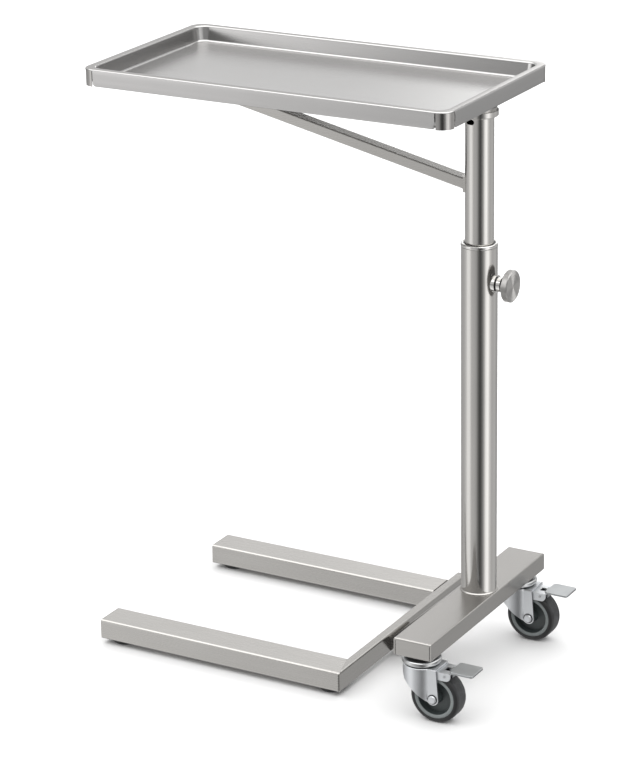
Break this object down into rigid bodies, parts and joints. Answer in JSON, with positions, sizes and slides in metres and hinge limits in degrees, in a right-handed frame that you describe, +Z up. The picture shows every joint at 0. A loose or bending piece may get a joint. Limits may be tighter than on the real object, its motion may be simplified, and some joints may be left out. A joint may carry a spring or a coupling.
{
  "type": "mayo instrument stand",
  "caption": "Stainless instrument stand: rimmed removable tray cantilevered on a height-adjustable, swivelling mast over a low U-shaped base with braked swivel casters at the column side.",
  "frame": {"origin": "on the floor under the middle of the whole outline, at rest", "axes": "+Z up; the tray and the legs reach out towards -X from the column, the clamp knob and the brake pedals point to +X; Y runs along the beam between the casters"},
  "size_m": [0.629, 0.418, 0.8622],
  "materials": {
    "brushed_stainless": "brushed along the length, satin",
    "satin_tray_stainless": "pressed sheet, satin",
    "polished_stainless": "turned and polished",
    "turned_knob": "radially turned face",
    "bright_chrome": "chrome plated",
    "zinc_plate": "bright zinc plated pressed steel",
    "steel_fastener": "plated steel",
    "black_rubber": "matt moulded rubber",
    "grey_tyre": "moulded thermoplastic rubber",
    "grey_hub": "moulded nylon hub",
    "black_nylon": "moulded nylon",
    "brass": "machined brass"
  },
  "bodies": {
    "base": {"front_leg": "brushed_stainless", "back_leg": "brushed_stainless", "leg_end_plates": "brushed_stainless", "cross_tube": "brushed_stainless", "cross_tube_end_plate": "brushed_stainless", "foot_screws": "steel_fastener", "link_arm": "brushed_stainless", "beam_shell": "brushed_stainless", "beam_core": "brushed_stainless", "column_tube": "brushed_stainless", "column_weld_ring": "brushed_stainless", "column_lip": "polished_stainless", "upper_bush": "black_nylon", "clamp_boss": "polished_stainless", "front_tip_foot": "black_rubber", "back_tip_foot": "black_rubber", "front_corner_foot": "black_rubber", "back_corner_foot": "black_rubber", "front_caster_mount_plate": "zinc_plate", "front_caster_race": "bright_chrome", "front_caster_kingpin": "steel_fastener", "back_caster_mount_plate": "zinc_plate", "back_caster_race": "bright_chrome", "back_caster_kingpin": "steel_fastener"},
    "guide": {"guide_ring": "black_nylon"},
    "mast": {"mast_tube": "brushed_stainless", "mast_plug": "black_nylon", "mast_stop_ring": "steel_fastener", "mast_collar": "brushed_stainless", "mast_head": "brushed_stainless", "tray_arm": "brushed_stainless", "brace": "brushed_stainless", "brace_saddle": "brushed_stainless", "support_ring": "brushed_stainless"},
    "tray": {"tray_pan": "satin_tray_stainless", "tray_corner_caps": "satin_tray_stainless"},
    "clamp_shoe": {"clamp_pad": "brass"},
    "clamp_handle": {"clamp_screw": "steel_fastener", "clamp_knob": "turned_knob"},
    "front_caster_swivel": {"front_caster_fork": "zinc_plate", "front_caster_balls": "bright_chrome", "front_caster_axle_bolt": "zinc_plate", "front_caster_axle_nut": "zinc_plate", "front_caster_axle_sleeve": "steel_fastener", "front_caster_brake_bracket": "zinc_plate", "front_caster_brake_pin": "steel_fastener"},
    "front_caster_wheel": {"front_caster_wheel_hub": "grey_hub", "front_caster_wheel_tyre": "grey_tyre"},
    "front_caster_brake": {"front_caster_brake_pedal": "zinc_plate"},
    "back_caster_swivel": {"back_caster_fork": "zinc_plate", "back_caster_balls": "bright_chrome", "back_caster_axle_bolt": "zinc_plate", "back_caster_axle_nut": "zinc_plate", "back_caster_axle_sleeve": "steel_fastener", "back_caster_brake_bracket": "zinc_plate", "back_caster_brake_pin": "steel_fastener"},
    "back_caster_wheel": {"back_caster_wheel_hub": "grey_hub", "back_caster_wheel_tyre": "grey_tyre"},
    "back_caster_brake": {"back_caster_brake_pedal": "zinc_plate"}
  },
  "joints": [
    {"name": "height", "type": "slide", "parent": "base", "child": "guide", "axis": [0, 0, 1], "range_m": [-0.07, 0.29]},
    {"name": "mast_swivel", "type": "hinge", "parent": "guide", "child": "mast", "pos_m": [0.2275, -0.004, 0.35], "axis": [0, 0, 1], "continuous": true},
    {"name": "tray_lift", "type": "slide", "parent": "mast", "child": "tray", "axis": [0, 0, 1], "range_m": [0, 0.06]},
    {"name": "clamp_travel", "type": "slide", "parent": "base", "child": "clamp_shoe", "axis": [1, 0, 0], "range_m": [0, 0.00301]},
    {"name": "clamp_turn", "type": "hinge", "parent": "clamp_shoe", "child": "clamp_handle", "pos_m": [0.2675, -0.004, 0.5842], "axis": [1, 0, 0], "range_deg": [0, 720]},
    {"name": "front_caster_swivel_turn", "type": "hinge", "parent": "base", "child": "front_caster_swivel", "pos_m": [0.2275, -0.181, 0.08], "axis": [0, 0, 1], "continuous": true},
    {"name": "front_caster_wheel_spin", "type": "hinge", "parent": "front_caster_swivel", "child": "front_caster_wheel", "pos_m": [0.2535, -0.181, 0.0375], "axis": [0, 1, 0], "continuous": true},
    {"name": "front_caster_brake_press", "type": "hinge", "parent": "front_caster_swivel", "child": "front_caster_brake", "pos_m": [0.2705, -0.181, 0.0744], "axis": [0, 1, 0], "range_deg": [0, 12]},
    {"name": "back_caster_swivel_turn", "type": "hinge", "parent": "base", "child": "back_caster_swivel", "pos_m": [0.2275, 0.125, 0.08], "axis": [0, 0, 1], "continuous": true},
    {"name": "back_caster_wheel_spin", "type": "hinge", "parent": "back_caster_swivel", "child": "back_caster_wheel", "pos_m": [0.2535, 0.125, 0.0375], "axis": [0, 1, 0], "continuous": true},
    {"name": "back_caster_brake_press", "type": "hinge", "parent": "back_caster_swivel", "child": "back_caster_brake", "pos_m": [0.2705, 0.125, 0.0744], "axis": [0, 1, 0], "range_deg": [0, 12]}
  ],
  "couplings": [
    {"joint": "clamp_travel", "follows": "clamp_turn", "m_per_rad": 0.00023873}
  ]
}
